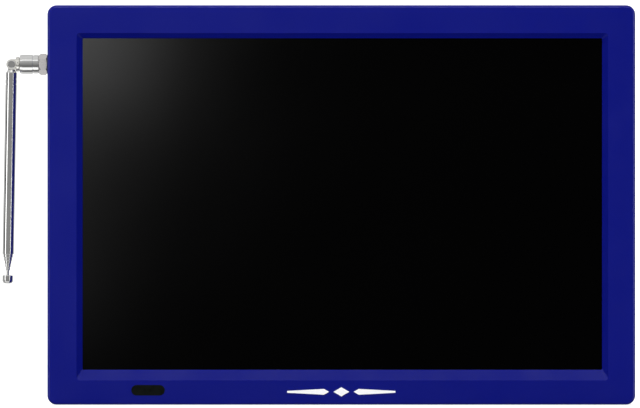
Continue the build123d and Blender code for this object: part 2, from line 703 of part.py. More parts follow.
# ------------------------------------------------------------------------------------------ stand
def stand_plate():
    """The folding leg: a ribbed plate that lies in the cover's pocket and turns on a pin at its top."""
    back_y = STAND_PIN[0] + STAND_ROUND_R
    front_y = STAND_PIN[0] - STAND_ROUND_R
    half = STAND_W / 2
    plate = block((-half, half), (front_y, back_y), (STAND_BOTTOM_Z, STAND_PIN[1]))
    plate = fillet(plate.edges().filter_by(Axis.Y).group_by(Axis.Z)[0], 5.0)
    plate = fillet(plate.edges().group_by(Axis.Y)[-1].sort_by(Axis.Z)[:-1], 0.8)
    plate += rod_x(STAND_ROUND_R, (-half, half), *STAND_PIN)
    plate -= slab(STAND_W - 16, 116, (back_y - 0.8, back_y), (0, 84), 4.0)
    for i in range(STAND_RIBS):
        rib_z = STAND_FIRST_RIB_Z + i * STAND_RIB_PITCH
        plate += block(around(0, half - 14), (back_y - 0.8, back_y - 0.1), around(rib_z, 0.8))
    plate -= block((-half + 8, half - 8), (front_y, front_y + 2.6), (30, 156))
    for x in (-30.0, 0.0, 30.0):
        plate += block(around(x, 1), (front_y, front_y + 2.6), (30, 156))
    plate -= stand_pad()
    plate -= rod_x(STAND_PIN_R + RUN_CLEAR, (-half, half), *STAND_PIN)
    return plate


def stand_hinge_pin():
    return rod_x(STAND_PIN_R, (-POCKET_X - 4, POCKET_X + 4), *STAND_PIN)


def stand_pad():
    """A rubber strip let into the leg's inner face near its foot."""
    front_y = STAND_PIN[0] - STAND_ROUND_R
    return block(around(0, 50.4), (front_y, front_y + 1.2), (17.6, 24.4))


# ------------------------------------------------------------------------------------------ antenna
def antenna_socket():
    """The threaded coaxial socket in the cover's left wall."""
    inner_x = COVER_LEFT_X + WALL
    flange_plane = Plane(origin=(inner_x, ANT_Y, ANT_Z), x_dir=(0, 1, 0), z_dir=(1, 0, 0))
    socket = extrude(flange_plane * RegularPolygon(6.6, 6), amount=2.2)
    socket += rod_x(4.2, (inner_x + 2.2, COVER_LEFT_X + 13), ANT_Y, ANT_Z)
    socket += rod_x(1.3, (COVER_LEFT_X + 13, COVER_LEFT_X + 15), ANT_Y, ANT_Z)
    socket += rod_x(THREAD_R, (out(3.9), inner_x), ANT_Y, ANT_Z)
    return socket - rod_x(0.55, (out(3.9), out(-6)), ANT_Y, ANT_Z)


def socket_washer():
    """The black washer between the cover's wall and the antenna's nut."""
    x = (out(NUT_OUT[0] - 0.05), COVER_LEFT_X)
    return rod_x(THREAD_R + 0.75, x, ANT_Y, ANT_Z) - rod_x(THREAD_R, x, ANT_Y, ANT_Z)


def antenna_nut():
    """The hex nut, with flats to the front and back and its outer end chamfered round."""
    x0 = out(NUT_OUT[1])
    length = NUT_OUT[1] - NUT_OUT[0]
    plane = Plane(origin=(x0, ANT_Y, ANT_Z), x_dir=(0, 0, 1), z_dir=(1, 0, 0))
    corner = NUT_FLATS / 2 / cos(radians(30))
    nut = extrude(plane * RegularPolygon(corner, 6), amount=length)
    barrel = rod_x(corner + 0.05, (x0, x0 + length), ANT_Y, ANT_Z)
    barrel = chamfer(barrel.edges().group_by(Axis.X)[0], 1.3, 0.95)
    barrel = chamfer(barrel.edges().group_by(Axis.X)[-1], 0.5, 0.8)
    nut &= barrel
    nut -= rod_x(THREAD_R + RUN_CLEAR, (x0 + NUT_LIP, x0 + length), ANT_Y, ANT_Z)
    return nut - rod_x(3.4, (x0, x0 + NUT_LIP), ANT_Y, ANT_Z)


def antenna_plug():
    """The plug: centre pin, flange held by the nut's lip, and a grooved barrel."""
    start, groove, end = (out(distance) for distance in BARREL_OUT)
    plug = rod_x(BARREL_R[0], (groove, start - RUN_CLEAR), ANT_Y, ANT_Z)
    plug = chamfer(plug.edges().group_by(Axis.X)[-1], 0.4)
    body = rod_x(BARREL_R[1], (end, groove), ANT_Y, ANT_Z)
    body = chamfer(body.edges().group_by(Axis.X)[0], *BARREL_TAPER)
    body = chamfer(body.edges().group_by(Axis.X)[-1], 0.3)
    plug += body
    ring = rod_x(BARREL_R[1] + 1, (groove - 0.2, groove + 0.35), ANT_Y, ANT_Z)
    floor_r = BARREL_R[0] - BARREL_GROOVE
    plug -= ring - rod_x(floor_r, (groove - 0.2, groove + 0.35), ANT_Y, ANT_Z)
    plug += rod_x(3.35, (start - RUN_CLEAR, start + NUT_LIP + RUN_CLEAR), ANT_Y, ANT_Z)
    plug += rod_x(4.1, (start + NUT_LIP + RUN_CLEAR, out(3.95)), ANT_Y, ANT_Z)
    plug += rod_x(0.45, (out(3.95), out(-1)), ANT_Y, ANT_Z)
    return plug - rod_x(2.55, (end, end + 6.5), ANT_Y, ANT_Z)


def antenna_swivel():
    """The swivel: a shaft in the plug's end, a round collar and a fork for the mast."""
    near, far = (out(distance) for distance in COLLAR_OUT)
    swivel = rod_x(COLLAR_R, (far, near), ANT_Y, ANT_Z)
    swivel = fillet(swivel.edges(), 0.9)
    swivel += rod_x(2.5, (near, near + 6.2), ANT_Y, ANT_Z)
    elbow_x = out(ELBOW_OUT)
    fork = block((elbow_x, far + 0.5), around(ANT_Y, KNUCKLE_R), around(ANT_Z, KNUCKLE_R))
    fork += rod_y(KNUCKLE_R, elbow_x, around(ANT_Y, KNUCKLE_R), ANT_Z)
    fork -= block((elbow_x - 4, far), around(ANT_Y, FORK_GAP / 2), around(ANT_Z, 4))
    return swivel + fork - rod_y(ELBOW_SCREW_R, elbow_x, around(ANT_Y, 4), ANT_Z)


def elbow_screw():
    """The cross-head screw that the mast turns on, with its head to the front."""
    x = out(ELBOW_OUT)
    front_y = ANT_Y - KNUCKLE_R
    head = rod_y(2.3, x, (front_y - 0.7, front_y), ANT_Z)
    head = fillet(head.edges().group_by(Axis.Y)[0], 0.35)
    for turn in (45, 135):
        slot = Pos(x, front_y - 0.7, ANT_Z) * Rot(0, turn, 0) * Box(3.0, 1.1, 0.6)
        head -= slot
    return head + rod_y(ELBOW_SCREW_R, x, (front_y, ANT_Y + KNUCKLE_R), ANT_Z)


def on_mast(shape):
    """Hang a shape drawn straight down from the elbow at the mast's slight outward tilt."""
    return Pos(out(ELBOW_OUT), ANT_Y, ANT_Z) * Rot(0, MAST_TILT, 0) * shape


def down(radius, s):
    """A cylinder from s[0] to s[1] below the elbow's axis."""
    return rod_z(radius, 0, 0, (-s[1], -s[0]))


def mast_root():
    """The flat tongue in the fork, its neck, and the tenon crimped into the outer tube."""
    half = TONGUE / 2
    tongue = rod_y(2.4, 0, (-half, half), 0)
    tongue += block((-2.0, 2.0), (-half, half), (-MAST_TUBE_TOP, 0))
    neck = Pos(0, 0, -(3.3 + MAST_TUBE_TOP) / 2) * Cone(2.9, 2.2, MAST_TUBE_TOP - 3.3)
    root = tongue + neck + down(MAST_RADII[1] + RUN_CLEAR, (MAST_TUBE_TOP, MAST_TENON_END))
    return on_mast(root - rod_y(ELBOW_SCREW_R + RUN_CLEAR, 0, (-2, 2), 0))


def mast_tube(k):
    """Tube k of the mast, counted from the outside, open at both ends and pushed in."""
    top = MAST_TUBE_TOP if k == 0 else MAST_FIRST_TOP + (k - 1) * MAST_TOP_STEP
    end = MAST_TUBE_END + k * MAST_STEP
    next_r = MAST_RADII[k + 1] if k + 1 < len(MAST_RADII) else ROD_R
    tube = down(MAST_RADII[k], (top, end))
    tube = fillet(tube.edges().group_by(Axis.Z)[0], MAST_LIP)
    if k == 0:
        tube = fillet(tube.edges().group_by(Axis.Z)[-1], 0.35)
        for s in MAST_CRIMPS:
            crimp = around(s, 0.3)
            tube -= down(MAST_RADII[0] + 1, crimp) - down(MAST_RADII[0] - 0.22, crimp)
    return on_mast(tube - down(next_r + RUN_CLEAR, (top, end)))


def mast_rod():
    """The inner rod with the button on its tip."""
    top = MAST_FIRST_TOP + (len(MAST_RADII) - 1) * MAST_TOP_STEP
    tip = down(TIP_R, TIP_S)
    tip = fillet(tip.edges().group_by(Axis.Z)[0], 1.7)
    tip = fillet(tip.edges().group_by(Axis.Z)[-1], 0.4)
    return on_mast(down(ROD_R, (top, TIP_S[0])) + tip)


# ------------------------------------------------------------------------------------------ every node
def all_parts():
    parts = {
        "front_bezel": front_bezel(), "ir_lens": ir_lens(), "front_mark": front_mark(),
        "rear_cover": rear_cover(), "rubber_feet": rubber_feet(), "cover_screws": cover_screws(),
        "screen_gasket": screen_gasket(), "panel_frame": panel_frame(), "panel_glass": panel_glass(),
        "panel_films": panel_films(), "light_guide": light_guide(), "panel_tray": panel_tray(),
        "led_bar": led_bar(), "panel_board": panel_board(),
        "main_board": main_board(), "board_chips": board_chips(), "tuner_can": tuner_can(),
        "inner_screws": inner_screws(), "hdmi_socket": hdmi_socket(), "usb_socket": usb_socket(),
        "card_socket": card_socket(), "vga_socket": vga_socket(), "headphone_jack": jack(HEADPHONE_Z),
        "av_jacks": group([jack(z) for z in AV_Z]), "dc_jack": dc_jack(),
        "power_switch_body": power_switch_body(), "power_switch_knob": power_switch_knob(),
        "ir_board": ir_board(), "key_board": key_board(), "tact_switches": tact_switches(),
        "battery_cells": battery_cells(), "speaker_baskets": speakers("basket"),
        "speaker_cones": speakers("cone"), "speaker_magnets": speakers("magnet"),
        "speaker_leads": speaker_leads(), "battery_lead": battery_lead(), "antenna_lead": antenna_lead(),
        "panel_ribbon": panel_ribbon(), "stand_plate": stand_plate(), "stand_hinge_pin": stand_hinge_pin(),
        "stand_pad": stand_pad(), "antenna_socket": antenna_socket(), "socket_washer": socket_washer(),
        "antenna_nut": antenna_nut(), "antenna_plug": antenna_plug(), "antenna_swivel": antenna_swivel(),
        "elbow_screw": elbow_screw(), "mast_root": mast_root(), "mast_rod": mast_rod(),
    }
    for name, x in zip(BUTTON_NAMES, BUTTON_PLACES):
        parts[f"button_{name}"] = button(x)
    for k in range(len(MAST_RADII)):
        parts[f"mast_tube_{k + 1}"] = mast_tube(k)
    return parts


os.makedirs("parts", exist_ok=True)
for name, shape in all_parts().items():
    export_step(shape, f"parts/{name}.step")
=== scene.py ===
"""Looks for the portable television: materials, small trim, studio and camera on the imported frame."""
import math

import bmesh
import bpy
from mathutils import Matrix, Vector


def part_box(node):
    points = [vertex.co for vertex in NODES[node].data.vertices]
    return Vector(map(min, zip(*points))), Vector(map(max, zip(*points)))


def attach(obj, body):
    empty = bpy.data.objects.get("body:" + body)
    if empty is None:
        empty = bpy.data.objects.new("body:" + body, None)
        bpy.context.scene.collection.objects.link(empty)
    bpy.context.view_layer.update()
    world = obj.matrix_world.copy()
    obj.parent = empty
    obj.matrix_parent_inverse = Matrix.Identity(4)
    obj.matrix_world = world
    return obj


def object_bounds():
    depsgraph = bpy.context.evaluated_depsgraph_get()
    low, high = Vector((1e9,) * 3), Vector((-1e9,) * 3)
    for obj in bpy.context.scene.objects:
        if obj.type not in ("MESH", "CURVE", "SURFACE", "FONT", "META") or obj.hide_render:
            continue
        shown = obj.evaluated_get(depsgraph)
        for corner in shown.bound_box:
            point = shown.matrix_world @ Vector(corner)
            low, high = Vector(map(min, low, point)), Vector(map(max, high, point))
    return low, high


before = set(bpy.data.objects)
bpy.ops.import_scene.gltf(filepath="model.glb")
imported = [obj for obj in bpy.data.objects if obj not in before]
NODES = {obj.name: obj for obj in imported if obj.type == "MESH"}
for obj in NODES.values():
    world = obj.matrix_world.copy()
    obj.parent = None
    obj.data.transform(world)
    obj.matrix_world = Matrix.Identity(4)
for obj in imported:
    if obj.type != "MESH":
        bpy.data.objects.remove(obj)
CAD_BOX = [list(corner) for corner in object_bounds()]
MM = 0.001
JACK_Y = 15.6 * MM


# ------------------------------------------------------------------------------------ node-tree helpers
class Tree:
    """A material's node tree with short ways to add and join nodes."""

    def __init__(self, name):
        self.material = bpy.data.materials.new(name)
        self.material.use_nodes = True
        self.nodes = self.material.node_tree.nodes
        self.links = self.material.node_tree.links
        self.shader = self.nodes["Principled BSDF"]
        self.place = self.add("ShaderNodeTexCoord").outputs["Object"]

    def add(self, kind, **settings):
        node = self.nodes.new(kind)
        for key, value in settings.items():
            setattr(node, key, value)
        return node

    def join(self, output, target):
        self.links.new(output, target)

    def set(self, **values):
        """Constant values on the shader's own sockets; underscores stand for spaces."""
        for key, value in values.items():
            self.shader.inputs[key.replace("_", " ")].default_value = value

    def stretched(self, scale):
        """The object coordinates, scaled differently along each axis."""
        mapping = self.add("ShaderNodeMapping")
        mapping.inputs["Scale"].default_value = scale
        self.join(self.place, mapping.inputs["Vector"])
        return mapping.outputs["Vector"]

    def noise(self, scale, detail=2.0, rough=0.5, vector=None):
        node = self.add("ShaderNodeTexNoise")
        node.inputs["Scale"].default_value = scale
        node.inputs["Detail"].default_value = detail
        node.inputs["Roughness"].default_value = rough
        self.join(vector or self.place, node.inputs["Vector"])
        return node.outputs["Fac"]

    def spread(self, value, low, high, start=0.35, end=0.65):
        """Maps a noise value onto low..high."""
        node = self.add("ShaderNodeMapRange")
        node.inputs["From Min"].default_value = start
        node.inputs["From Max"].default_value = end
        node.inputs["To Min"].default_value = low
        node.inputs["To Max"].default_value = high
        self.join(value, node.inputs["Value"])
        return node.outputs["Result"]

    def colours(self, value, first, second, start=0.3, end=0.7):
        """A colour that drifts between two as a noise value changes."""
        node = self.add("ShaderNodeValToRGB")
        node.color_ramp.elements[0].position = start
        node.color_ramp.elements[0].color = (*first, 1)
        node.color_ramp.elements[1].position = end
        node.color_ramp.elements[1].color = (*second, 1)
        self.join(value, node.inputs["Fac"])
        return node.outputs["Color"]

    def bump(self, height, distance, strength=1.0, below=None):
        """Adds a bump layer, on top of an earlier one where given."""
        node = self.add("ShaderNodeBump")
        node.inputs["Distance"].default_value = distance
        node.inputs["Strength"].default_value = strength
        self.join(height, node.inputs["Height"])
        if below:
            self.join(below, node.inputs["Normal"])
        return node.outputs["Normal"]


def shade(colour, factor):
    return tuple(min(1.0, channel * factor) for channel in colour)


# ------------------------------------------------------------------------------------ materials
def moulded_plastic(name, colour, roughness=0.3, grain=0.35, grain_mm=0.35, drift=0.02, specular=0.4):
    """Injection-moulded plastic: a fine spark-eroded grain, faint flow marks and handling sheen."""
    tree = Tree(name)
    cloud = tree.noise(9.0, 3.0)
    tree.join(tree.colours(cloud, shade(colour, 1 - drift), shade(colour, 1 + drift)),
              tree.shader.inputs["Base Color"])
    patches = tree.noise(55.0, 5.0, 0.6)
    tree.join(tree.spread(patches, roughness - 0.04, roughness + 0.05), tree.shader.inputs["Roughness"])
    grains = tree.noise(1000.0 / grain_mm, 2.0)
    waves = tree.noise(38.0, 1.0)
    fine = tree.bump(grains, 0.00003, grain)
    tree.join(tree.bump(waves, 0.00002, 0.35, fine), tree.shader.inputs["Normal"])
    tree.set(Specular_IOR_Level=specular, IOR=1.5)
    return tree.material


def chrome(name, along, roughness=0.07, tint=(0.86, 0.86, 0.85)):
    """Bright plate with hairline rubbing marks; a small value in along draws them out along that axis."""
    tree = Tree(name)
    lines = tree.noise(900.0, 3.0, 0.6, tree.stretched(along))
    smears = tree.noise(70.0, 4.0, 0.6)
    tree.join(tree.colours(smears, shade(tint, 0.94), tint), tree.shader.inputs["Base Color"])
    tree.join(tree.spread(smears, roughness, roughness + 0.07), tree.shader.inputs["Roughness"])
    tree.join(tree.bump(lines, 0.00001, 0.25), tree.shader.inputs["Normal"])
    tree.set(Metallic=1.0)
    return tree.material


def plated_steel(name, colour, roughness=0.3):
    """Tinned or zinc-plated sheet with a cloudy, slightly crystalline surface."""
    tree = Tree(name)
    cells = tree.add("ShaderNodeTexVoronoi")
    cells.inputs["Scale"].default_value = 420.0
    tree.join(tree.place, cells.inputs["Vector"])
    cloud = tree.noise(160.0, 4.0, 0.6)
    tree.join(tree.colours(cloud, shade(colour, 0.86), shade(colour, 1.08)),
              tree.shader.inputs["Base Color"])
    tree.join(tree.spread(cells.outputs["Distance"], roughness - 0.06, roughness + 0.12, 0.0, 0.7),
              tree.shader.inputs["Roughness"])
    tree.join(tree.bump(cloud, 0.00002, 0.3), tree.shader.inputs["Normal"])
    tree.set(Metallic=1.0)
    return tree.material


def screen_glass():
    """The panel's black front polariser: an anti-glare film that blurs what it reflects."""
    tree = Tree("screen_polariser")
    haze = tree.noise(14.0, 4.0)
    tree.join(tree.colours(haze, (0.00012, 0.00012, 0.00014), (0.0002, 0.0002, 0.00023)),
              tree.shader.inputs["Base Color"])
    tree.join(tree.spread(haze, 0.15, 0.165), tree.shader.inputs["Roughness"])
    sparkle = tree.noise(9000.0, 1.0)
    tree.join(tree.bump(sparkle, 0.000002, 0.12), tree.shader.inputs["Normal"])
    tree.set(Specular_IOR_Level=0.03, IOR=1.5)
    return tree.material


def smoked_lens():
    """Infrared-clear acrylic, almost black, with a polished face and fine wiping marks."""
    tree = Tree("smoked_acrylic")
    cloud = tree.noise(260.0, 3.0)
    tree.join(tree.colours(cloud, (0.0022, 0.0032, 0.0024), (0.0045, 0.006, 0.005)),
              tree.shader.inputs["Base Color"])
    tree.join(tree.spread(cloud, 0.08, 0.2), tree.shader.inputs["Roughness"])
    wipes = tree.noise(700.0, 2.0, 0.5, tree.stretched((0.15, 1, 1)))
    tree.join(tree.bump(wipes, 0.00001, 0.3), tree.shader.inputs["Normal"])
    tree.set(Specular_IOR_Level=0.12, IOR=1.5)
    return tree.material


def rubber(name, colour=(0.018, 0.018, 0.019), roughness=0.72):
    """Moulded rubber: matte, slightly dusty, with a fine pebbled skin."""
    tree = Tree(name)
    dust = tree.noise(130.0, 4.0, 0.65)
    tree.join(tree.colours(dust, colour, shade(colour, 1.9), 0.45, 0.8), tree.shader.inputs["Base Color"])
    tree.join(tree.spread(dust, roughness - 0.06, roughness + 0.08), tree.shader.inputs["Roughness"])
    skin = tree.add("ShaderNodeTexVoronoi")
    skin.inputs["Scale"].default_value = 1800.0
    tree.join(tree.place, skin.inputs["Vector"])
    tree.join(tree.bump(skin.outputs["Distance"], 0.00005, 0.35), tree.shader.inputs["Normal"])
    tree.set(Specular_IOR_Level=0.3)
    return tree.material


def circuit_board():
    """Green solder mask over faint copper tracks."""
    tree = Tree("solder_mask")
    tracks = tree.add("ShaderNodeTexBrick")
    tracks.inputs["Scale"].default_value = 220.0
    tracks.inputs["Mortar Size"].default_value = 0.05
    tracks.inputs["Color1"].default_value = (0.012, 0.085, 0.03, 1)
    tracks.inputs["Color2"].default_value = (0.016, 0.1, 0.036, 1)
    tracks.inputs["Mortar"].default_value = (0.03, 0.17, 0.06, 1)
    turned = tree.add("ShaderNodeMapping")
    turned.inputs["Rotation"].default_value = (math.radians(90), 0, 0)
    tree.join(tree.place, turned.inputs["Vector"])
    tree.join(turned.outputs["Vector"], tracks.inputs["Vector"])
    tree.join(tracks.outputs["Color"], tree.shader.inputs["Base Color"])
    tree.join(tree.spread(tree.noise(300.0), 0.25, 0.4), tree.shader.inputs["Roughness"])
    tree.join(tree.bump(tracks.outputs["Fac"], 0.00003, 0.4), tree.shader.inputs["Normal"])
    return tree.material


def clear_acrylic():
    """The light guide's clear edge-lit sheet, with its printed dot pattern."""
    tree = Tree("light_guide_acrylic")
    dots = tree.add("ShaderNodeTexVoronoi")
    dots.inputs["Scale"].default_value = 600.0
    tree.join(tree.place, dots.inputs["Vector"])
    tree.join(tree.colours(dots.outputs["Distance"], (0.9, 0.92, 0.93), (0.72, 0.76, 0.78), 0.2, 0.3),
              tree.shader.inputs["Base Color"])
    tree.join(tree.spread(dots.outputs["Distance"], 0.1, 0.35, 0.1, 0.5), tree.shader.inputs["Roughness"])
    return tree.material


def woven_cloth(name, colour):
    """Acoustic cloth: a plain weave of fine threads."""
    tree = Tree(name)
    weave = []
    for axis in (0, 2):
        scale = [0.0, 0.0, 0.0]
        scale[axis] = 1.0
        wave = tree.add("ShaderNodeTexWave", wave_type="BANDS", bands_direction="DIAGONAL")
        wave.inputs["Scale"].default_value = 900.0
        tree.join(tree.stretched(scale), wave.inputs["Vector"])
        weave.append(wave.outputs["Fac"])
    mix = tree.add("ShaderNodeMath", operation="MULTIPLY")
    tree.join(weave[0], mix.inputs[0])
    tree.join(weave[1], mix.inputs[1])
    tree.join(tree.colours(mix.outputs[0], shade(colour, 0.5), shade(colour, 1.4), 0.1, 0.7),
              tree.shader.inputs["Base Color"])
    tree.join(tree.bump(mix.outputs[0], 0.0001, 0.8), tree.shader.inputs["Normal"])
    tree.set(Roughness=0.9, Sheen_Weight=0.2)
    return tree.material


BLUE = (0.0026, 0.0054, 0.170)
MATERIALS = {
    "front": moulded_plastic("blue_plastic_front", BLUE, roughness=0.2, grain=0.12, grain_mm=0.5,
                             specular=0.12),
    "rear": moulded_plastic("blue_plastic_rear", BLUE, roughness=0.4, grain=0.8, grain_mm=0.6,
                            specular=0.2),
    "keys": moulded_plastic("blue_plastic_keys", shade(BLUE, 0.8), roughness=0.36, grain=0.3, specular=0.2),
    "glass": screen_glass(),
    "lens": smoked_lens(),
    "mark": moulded_plastic("white_mark", (0.95, 0.95, 0.97), roughness=0.35, grain=0.1),
    "rubber": rubber("black_rubber"),
    "black": moulded_plastic("black_plastic", (0.012, 0.012, 0.013), roughness=0.45, grain=0.5, drift=0.15),
    "white": moulded_plastic("white_plastic", (0.75, 0.75, 0.73), roughness=0.5, grain=0.4),
    "acrylic": clear_acrylic(),
    "steel": plated_steel("tinned_steel", (0.6, 0.61, 0.62)),
    "zinc": plated_steel("black_zinc", (0.05, 0.05, 0.055), 0.35),
    "gold": plated_steel("gold_flash", (0.85, 0.6, 0.22), 0.2),
    "mast": chrome("chrome_mast", (1, 1, 0.02)),
    "barrel": chrome("chrome_barrel", (0.05, 1, 1), 0.09),
    "nut": chrome("nickel_nut", (1, 1, 1), 0.22, (0.8, 0.775, 0.76)),
    "nickel": chrome("nickel_collar", (1, 1, 1), 0.18, (0.88, 0.87, 0.82)),
    "board": circuit_board(),
    "cone": rubber("paper_cone", (0.02, 0.02, 0.02), 0.85),
    "cable": rubber("cable_jacket", (0.02, 0.02, 0.022), 0.5),
    "sleeve": moulded_plastic("cell_sleeve", (0.03, 0.12, 0.32), roughness=0.3, grain=0.1),
    "cloth": woven_cloth("speaker_cloth", (0.02, 0.02, 0.022)),
}
NODE_MATERIALS = {
    "front_bezel": "front", "rear_cover": "rear", "stand_plate": "rear", "ir_lens": "lens",
    "front_mark": "mark", "panel_glass": "glass", "rubber_feet": "rubber", "stand_pad": "rubber",
    # socket_washer gets black rubber: partly a real dark washer, partly painted shade standing in for the
    # shadowed gap behind the antenna nut
    "screen_gasket": "rubber", "socket_washer": "rubber", "cover_screws": "zinc", "inner_screws": "zinc",
    "panel_frame": "steel", "panel_films": "white", "light_guide": "acrylic", "panel_tray": "white",
    "led_bar": "white", "panel_board": "board", "main_board": "board", "ir_board": "board",
    "key_board": "board", "board_chips": "black", "tuner_can": "steel", "hdmi_socket": "steel",
    "usb_socket": "steel", "card_socket": "steel", "vga_socket": "steel", "headphone_jack": "black",
    "av_jacks": "black", "dc_jack": "black", "power_switch_body": "steel", "power_switch_knob": "black",
    "tact_switches": "black", "battery_cells": "sleeve", "speaker_baskets": "steel",
    "speaker_cones": "cone", "speaker_magnets": "steel", "speaker_leads": "cable",
    "battery_lead": "cable", "antenna_lead": "cable", "panel_ribbon": "white",
    "stand_hinge_pin": "steel", "antenna_socket": "nickel", "antenna_nut": "nut",
    "antenna_plug": "barrel", "antenna_swivel": "nickel", "elbow_screw": "barrel",
}


def finish_nodes():
    """Gives every carried-over node its material."""
    for name, piece in NODES.items():
        if name.startswith("button_"):
            key = "keys"
        elif name.startswith("mast_"):
            key = "mast"
        else:
            key = NODE_MATERIALS[name]
        for slot in piece.material_slots:
            slot.material = MATERIALS[key]


# ------------------------------------------------------------------------------------ small trim pieces
def new_piece(name, mesh, material, body):
    piece = bpy.data.objects.new(name, mesh)
    bpy.context.scene.collection.objects.link(piece)
    mesh.materials.append(MATERIALS[material])
    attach(piece, body)
    return piece


def prism(name, outlines, base, normal, height, material, body):
    """Raised flat shapes: each outline is a list of points from the base, pushed out along the normal."""
    mesh = bpy.data.meshes.new(name)
    work = bmesh.new()
    for outline in outlines:
        low = [work.verts.new(base + point) for point in outline]
        high = [work.verts.new(base + point + normal * height) for point in outline]
        work.faces.new(low)
        work.faces.new(high)
        for i in range(len(low)):
            k = (i + 1) % len(low)
            work.faces.new((low[i], low[k], high[k], high[i]))
    bmesh.ops.recalc_face_normals(work, faces=work.faces)
    work.to_mesh(mesh)
    work.free()
    return new_piece(name, mesh, material, body)


def disc_ring(name, centre, normal, inner, outer, height, material, body, steps=48):
    """A flat ring, or a disc where the inner radius is zero, standing on a plane."""
    side = normal.orthogonal().normalized()
    up = normal.cross(side)
    mesh = bpy.data.meshes.new(name)
    work = bmesh.new()
    loops = []
    for radius, lift in ((outer, 0), (outer, height), (inner, height), (inner, 0)):
        if radius == 0:
            continue
        loop = []
        for i in range(steps):
            turn = 2 * math.pi * i / steps
            spoke = side * math.cos(turn) + up * math.sin(turn)
            loop.append(work.verts.new(centre + spoke * radius + normal * lift))
        loops.append(loop)
    for near, far in zip(loops, loops[1:]):
        for i in range(steps):
            k = (i + 1) % steps
            work.faces.new((near[i], near[k], far[k], far[i]))
    if inner == 0:
        work.faces.new(loops[0])
        work.faces.new(loops[1])
    else:
        for i in range(steps):
            k = (i + 1) % steps
            work.faces.new((loops[3][i], loops[3][k], loops[0][k], loops[0][i]))
    bmesh.ops.recalc_face_normals(work, faces=work.faces)
    work.to_mesh(mesh)
    work.free()
    return new_piece(name, mesh, material, body)


def key_symbols():
    """Plain raised plus, minus, arrow and box symbols on the key caps."""
    arm, bar = 1.6 * MM, 0.3 * MM
    tip, half = 1.3 * MM, 1.5 * MM
    raised = 0.12 * MM
    minus = [(-arm, -bar), (arm, -bar), (arm, bar), (-arm, bar)]
    plus = [(-arm, -bar), (-bar, -bar), (-bar, -arm), (bar, -arm), (bar, -bar), (arm, -bar),
            (arm, bar), (bar, bar), (bar, arm), (-bar, arm), (-bar, bar), (-arm, bar)]
    up = [(-half, -tip * 0.6), (half, -tip * 0.6), (0, tip)]
    down = [(-half, tip * 0.6), (0, -tip), (half, tip * 0.6)]
    box = [(-half, -tip), (half, -tip), (half, tip), (-half, tip)]
    shapes = {"volume_up": plus, "volume_down": minus, "channel_up": up, "channel_down": down,
              "source": box}
    for key, outline in shapes.items():
        low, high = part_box(f"button_{key}")
        cap_middle = Vector(((low[0] + high[0]) / 2, (low[1] + high[1]) / 2, high[2]))
        points = [Vector((x, y, 0)) for x, y in outline]
        prism(f"symbol_{key}", [points], cap_middle, Vector((0, 0, 1)), raised, "mark", f"key_{key}")


def jack_rings():
    """Nickel contact rings around the three jacks' bores."""
    inner, outer, raised = 1.95 * MM, 2.9 * MM, 0.25 * MM
    low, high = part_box("headphone_jack")
    first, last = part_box("av_jacks")
    half = (high[2] - low[2]) / 2
    places = {"headphones": (low[2] + high[2]) / 2, "av_in": last[2] - half, "av_out": first[2] + half}
    for name, z in places.items():
        centre = Vector((high[0], JACK_Y, z))
        disc_ring(f"ring_{name}", centre, Vector((1, 0, 0)), inner, outer, raised, "nickel", "television")


def contact_row(name, node, count, pitch, width, x_back, y, length):
    """A row of gold contact strips lying on a socket's tongue."""
    low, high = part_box(node)
    middle_z = (low[2] + high[2]) / 2
    strips = []
    for i in range(count):
        z = middle_z + (i - (count - 1) / 2) * pitch
        start = high[0] - x_back - length
        below, above = z - width / 2, z + width / 2
        corners = [(start, below), (start + length, below), (start + length, above), (start, above)]
        strips.append([Vector((cx, y, cz)) for cx, cz in corners])
    prism(name, strips, Vector(), Vector((0, -1, 0)), 0.08 * MM, "gold", "television")


def speaker_cloths():
    """Black acoustic cloth behind each group of speaker slots."""
    inset, rim, thickness = 0.3 * MM, 2.6 * MM, 0.15 * MM
    low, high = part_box("speaker_baskets")
    radius = (high[2] - low[2]) / 2
    z = (low[2] + high[2]) / 2
    for name, x in (("left", low[0] + radius), ("right", high[0] - radius)):
        centre = Vector((x, high[1] - inset, z))
        disc_ring(f"speaker_cloth_{name}", centre, Vector((0, 1, 0)), 0, radius - rim, thickness, "cloth",
                  "television")


# ------------------------------------------------------------------------------------ studio
def emitter(name, place, target, size, radiance, in_reflections=True):
    """A soft rectangular light of a given radiance, facing target, that the camera doesn't see."""
    data = bpy.data.lights.new(name, "AREA")
    data.shape = "RECTANGLE"
    data.size, data.size_y = size
    data.energy = radiance * math.pi * size[0] * size[1]
    light = bpy.data.objects.new(name, data)
    bpy.context.scene.collection.objects.link(light)
    light.location = place
    light.rotation_mode = "QUATERNION"
    light.rotation_quaternion = (Vector(target) - Vector(place)).to_track_quat("-Z", "Y")
    light.visible_camera = False
    light.visible_glossy = in_reflections
    return light


def lights_only(light, pieces):
    """Keeps a light to a few pieces."""
    group = bpy.data.collections.new(light.name + "_receivers")
    for piece in pieces:
        group.objects.link(piece)
    light.light_linking.receiver_collection = group


def pale_floor():
    """A matte white table top, kept out of mirror-like reflections."""
    mesh = bpy.data.meshes.new("floor")
    reach = 1.6
    corners = [(-reach, -reach, 0), (reach, -reach, 0), (reach, reach, 0), (-reach, reach, 0)]
    mesh.from_pydata(corners, [], [(0, 1, 2, 3)])
    floor = bpy.data.objects.new("floor", mesh)
    bpy.context.scene.collection.objects.link(floor)
    tree = Tree("pale_floor")
    tree.join(tree.colours(tree.noise(3.0, 3.0), (0.5, 0.5, 0.5), (0.52, 0.52, 0.52)),
              tree.shader.inputs["Base Color"])
    path = tree.add("ShaderNodeLightPath")
    tree.join(tree.spread(path.outputs["Is Camera Ray"], 0.0, 0.7, 0, 1),
              tree.shader.inputs["Emission Strength"])
    tree.set(Roughness=0.9, Specular_IOR_Level=0.1, Emission_Color=(1, 1, 1, 1))
    mesh.materials.append(tree.material)
    floor.visible_glossy = False


